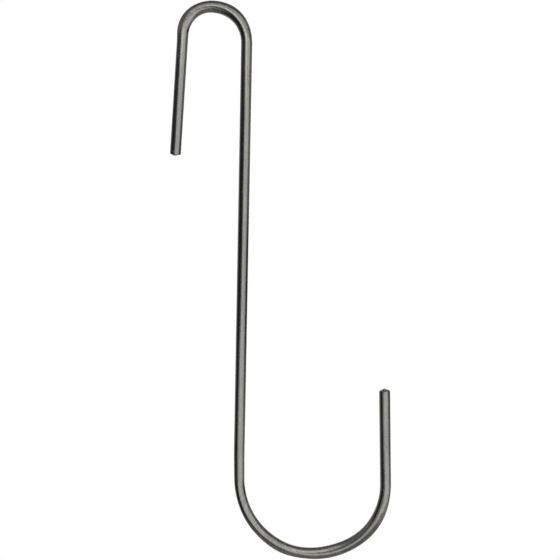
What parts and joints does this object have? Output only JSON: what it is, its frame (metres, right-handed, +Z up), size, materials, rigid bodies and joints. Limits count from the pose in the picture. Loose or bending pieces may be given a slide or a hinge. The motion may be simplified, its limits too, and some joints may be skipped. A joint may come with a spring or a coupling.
{
  "type": "s hook",
  "caption": "Round wire S hook with a long straight shank, a small upper bend with a short leg and a wide open lower bend, cut plain at both ends.",
  "frame": {"origin": "upper seat: the inside top of the small bend, on the wire's mid plane, where the hook hangs on a rail", "axes": "+Z up along the shank, +X from the short leg across the shank to the long leg, Y through the wire's thickness; the hook is flat in the XZ plane and is looked at from -Y"},
  "size_m": [0.104, 0.005, 0.2517],
  "materials": {
    "wire": "satin drawn wire with fine scratches, bare, no coating"
  },
  "bodies": {
    "root": {"hook": "wire"}
  },
  "joints": []
}
